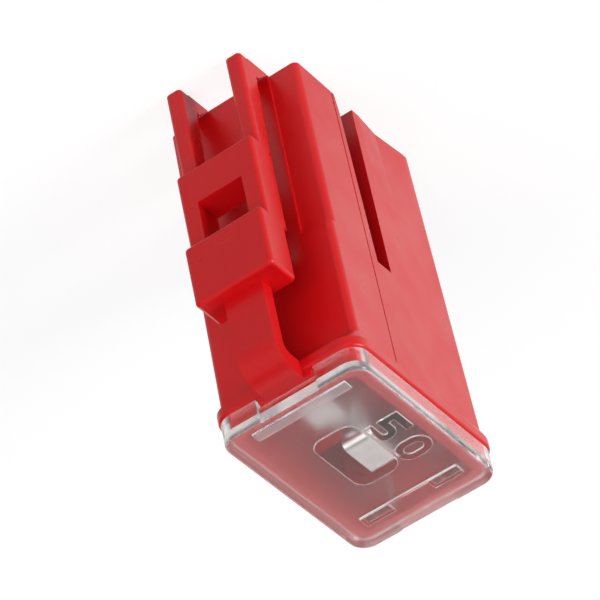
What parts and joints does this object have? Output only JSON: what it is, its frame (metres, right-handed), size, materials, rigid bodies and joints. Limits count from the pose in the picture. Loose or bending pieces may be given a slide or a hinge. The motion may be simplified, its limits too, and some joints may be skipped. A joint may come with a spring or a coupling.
{
  "type": "female cartridge fuse",
  "caption": "Moulded plug-in cartridge fuse with a one-piece latch arm, a clear window cover and folded female blade sockets joined by a fusible link",
  "frame": {"origin": "midway between the two blade sockets, on the terminal end face", "axes": "+Z from the terminal end to the window end, along the blades; -Y towards the latch arm; X across the narrow way, along each blade's width"},
  "size_m": [0.0126, 0.0227, 0.0309],
  "materials": {
    "housing_plastic": "semi-gloss moulded red",
    "clear_cover": "clear moulded polycarbonate, slightly frosted plate",
    "plated_copper": "bright tin plating on stamped copper alloy",
    "tin": "dull cast tin"
  },
  "bodies": {
    "root": {"housing": "housing_plastic", "window_cover": "clear_cover", "fuse_element": "plated_copper", "tin_slug": "tin"}
  },
  "joints": []
}
